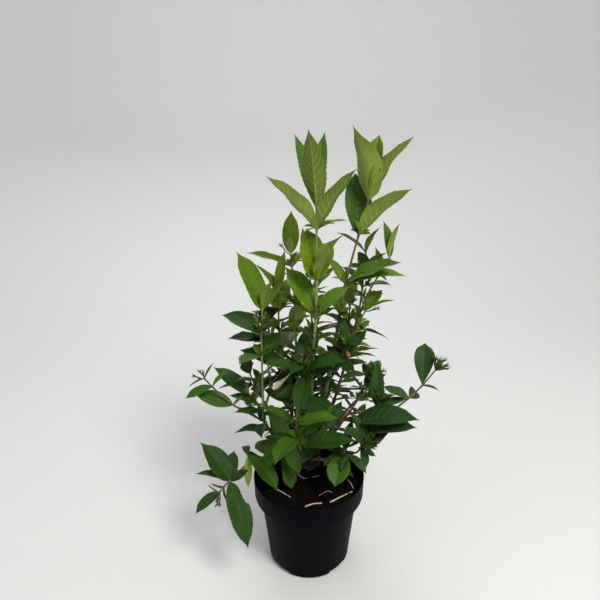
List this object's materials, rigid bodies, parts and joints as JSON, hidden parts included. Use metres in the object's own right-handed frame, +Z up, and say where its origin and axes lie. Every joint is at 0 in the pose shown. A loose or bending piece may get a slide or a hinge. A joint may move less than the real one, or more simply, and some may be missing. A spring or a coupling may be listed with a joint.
{
  "type": "potted shrub",
  "caption": "Young flowering garden shrub with opposite pointed leaves on upright and arching stems, growing in peat in a tapered round nursery pot with a collar rim.",
  "frame": {"origin": "centre of the pot's flat underside", "axes": "+Z up, -Y the side that the shrub is seen from, +X to the right seen from there"},
  "size_m": [0.4195, 0.3325, 0.7169],
  "materials": {
    "pot": "satin blue-black moulded plastic",
    "soil": "rough dark brown peat",
    "bark": "matt brown bark, greener towards the tips",
    "leaves": "soft satin mid green leaves, yellow-green at the top"
  },
  "bodies": {
    "root": {"branch_back_low": "bark", "branch_back_low_left": "bark", "branch_back_low_right": "bark", "branch_far_left": "bark", "branch_front": "bark", "branch_left_low": "bark", "branch_over_soil": "bark", "branch_right": "bark", "branch_right_low": "bark", "branch_right_upper": "bark", "leaves_back": "leaves", "leaves_back_left": "leaves", "leaves_back_low": "leaves", "leaves_back_low_left": "leaves", "leaves_back_low_right": "leaves", "leaves_back_right": "leaves", "leaves_centre_left": "leaves", "leaves_centre_top": "leaves", "leaves_far_left": "leaves", "leaves_front": "leaves", "leaves_front_low": "leaves", "leaves_inner_back": "leaves", "leaves_inner_foot": "leaves", "leaves_inner_left": "leaves", "leaves_inner_low": "leaves", "leaves_inner_middle": "leaves", "leaves_inner_right": "leaves", "leaves_left_dark": "leaves", "leaves_left_hanging": "leaves", "leaves_left_low": "leaves", "leaves_left_mid": "leaves", "leaves_left_top": "leaves", "leaves_over_rim": "leaves", "leaves_right_arching": "leaves", "leaves_right_back_top": "leaves", "leaves_right_behind": "leaves", "leaves_right_end": "leaves", "leaves_right_low": "leaves", "leaves_right_middle": "leaves", "leaves_right_top": "leaves", "leaves_right_upper": "leaves", "leaves_right_upright": "leaves", "leaves_rim_left": "leaves", "pot": "pot", "root_crown": "bark", "soil": "soil", "stem_back": "bark", "stem_back_left": "bark", "stem_back_right": "bark", "stem_centre": "bark", "stem_inner": "bark", "stem_left": "bark", "stem_right": "bark", "stem_right_back": "bark"}
  },
  "joints": []
}
